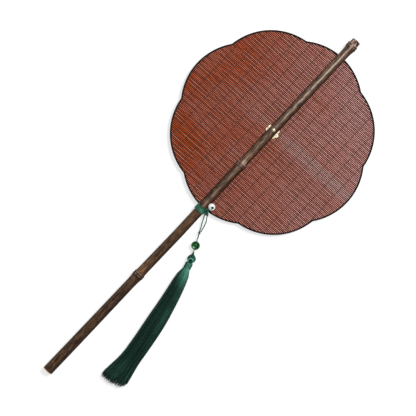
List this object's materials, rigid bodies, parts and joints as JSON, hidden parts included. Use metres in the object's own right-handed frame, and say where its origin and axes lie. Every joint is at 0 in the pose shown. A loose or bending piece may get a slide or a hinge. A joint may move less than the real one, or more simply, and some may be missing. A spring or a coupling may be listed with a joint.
{
  "type": "hand fan",
  "caption": "Rigid long-handled hand fan: petal-shaped screen of woven bamboo splints in a slit bamboo handle, with a brass pin, green thread wrap, beads and a silk tassel.",
  "frame": {"origin": "On the surface that the fan lies on, under the middle of the handle's length and in line with the middle of the screen.", "axes": "+Y along the handle towards the screen, +Z out of the front of the screen, +X to the right of the handle seen from the front."},
  "size_m": [0.23, 0.507, 0.0194],
  "materials": {
    "bamboo": "smoked bamboo, satin",
    "splints": "stained bamboo splints woven with fine dark thread",
    "hoop": "dark bamboo strip",
    "binding": "charcoal cotton tape",
    "brass": "soft polished brass",
    "thread": "green silk thread",
    "silk": "dark green silk floss",
    "white_bead": "glazed white",
    "green_glass": "deep green glass",
    "clear_glass": "clear glass"
  },
  "bodies": {
    "fan": {"handle": "bamboo", "splint_mat": "splints", "rim_hoop": "hoop", "rim_binding_right": "binding", "rim_binding_left": "binding", "brass_plate": "brass", "brass_pin": "brass", "pin_washer": "brass", "thread_wrap": "thread", "hitch_knot": "thread", "bead_cord": "thread", "stop_knot": "thread"},
    "side_bead": {"white_bead": "white_bead"},
    "loop": {"tassel_loop": "thread", "loop_knot": "thread"},
    "drop": {"drop_cord": "thread", "spacer_upper": "clear_glass", "spacer_lower": "clear_glass"},
    "drop_bead": {"green_bead": "green_glass"},
    "tassel": {"tassel_head": "silk", "tassel_neck_band": "thread", "tassel_skirt": "silk"}
  },
  "joints": [
    {"name": "side_bead_spin", "type": "hinge", "parent": "fan", "child": "side_bead", "pos_m": [0.00733, 0.00654, 0.01316], "axis": [0.2755, -0.0096, 0.9613], "continuous": true},
    {"name": "loop_swing", "type": "hinge", "parent": "fan", "child": "loop", "pos_m": [0.00858, -0.003, 0.00676], "axis": [0, 0, 1], "range_deg": [-5, 55]},
    {"name": "drop_lift", "type": "hinge", "parent": "loop", "child": "drop", "pos_m": [0.0171, -0.0242, 0.005], "axis": [-0.8961, -0.4439, 0], "range_deg": [-75, 75]},
    {"name": "drop_bead_spin", "type": "hinge", "parent": "drop", "child": "drop_bead", "pos_m": [0.02369, -0.03752, 0.005], "axis": [0.4439, -0.8961, 0], "continuous": true},
    {"name": "tassel_swing", "type": "hinge", "parent": "drop", "child": "tassel", "pos_m": [0.03057, -0.05141, 0.005], "axis": [0, 0, 1], "range_deg": [-5, 45]}
  ]
}
